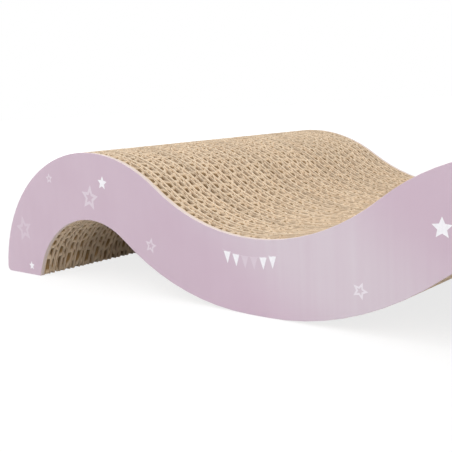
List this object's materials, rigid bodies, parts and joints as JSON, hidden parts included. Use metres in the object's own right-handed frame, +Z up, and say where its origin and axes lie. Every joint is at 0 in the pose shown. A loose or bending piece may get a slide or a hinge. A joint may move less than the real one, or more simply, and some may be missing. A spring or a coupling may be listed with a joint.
{
  "type": "wave cat scratcher",
  "caption": "Wave-shaped cat scratcher: upright corrugated boards glued side by side between two printed side panels, with a trough to lie in and an arch under each crest.",
  "frame": {"origin": "on the floor, under the middle of the trough and half way across the stack", "axes": "+X along the wave from crest to crest, +Y across the stack from the front panel to the rear panel, +Z up"},
  "size_m": [0.387, 0.2002, 0.07],
  "materials": {
    "kraft_board": "matte",
    "printed_card": "satin"
  },
  "bodies": {
    "root": {"front_panel": "printed_card", "rear_panel": "printed_card", "board_01": "kraft_board", "board_02": "kraft_board", "board_03": "kraft_board", "board_04": "kraft_board", "board_05": "kraft_board", "board_06": "kraft_board", "board_07": "kraft_board", "board_08": "kraft_board", "board_09": "kraft_board", "board_10": "kraft_board", "board_11": "kraft_board", "board_12": "kraft_board", "board_13": "kraft_board", "board_14": "kraft_board", "board_15": "kraft_board", "board_16": "kraft_board", "board_17": "kraft_board", "board_18": "kraft_board", "board_19": "kraft_board", "board_20": "kraft_board", "board_21": "kraft_board", "board_22": "kraft_board", "board_23": "kraft_board", "board_24": "kraft_board", "board_25": "kraft_board", "board_26": "kraft_board", "board_27": "kraft_board", "board_28": "kraft_board"}
  },
  "joints": []
}
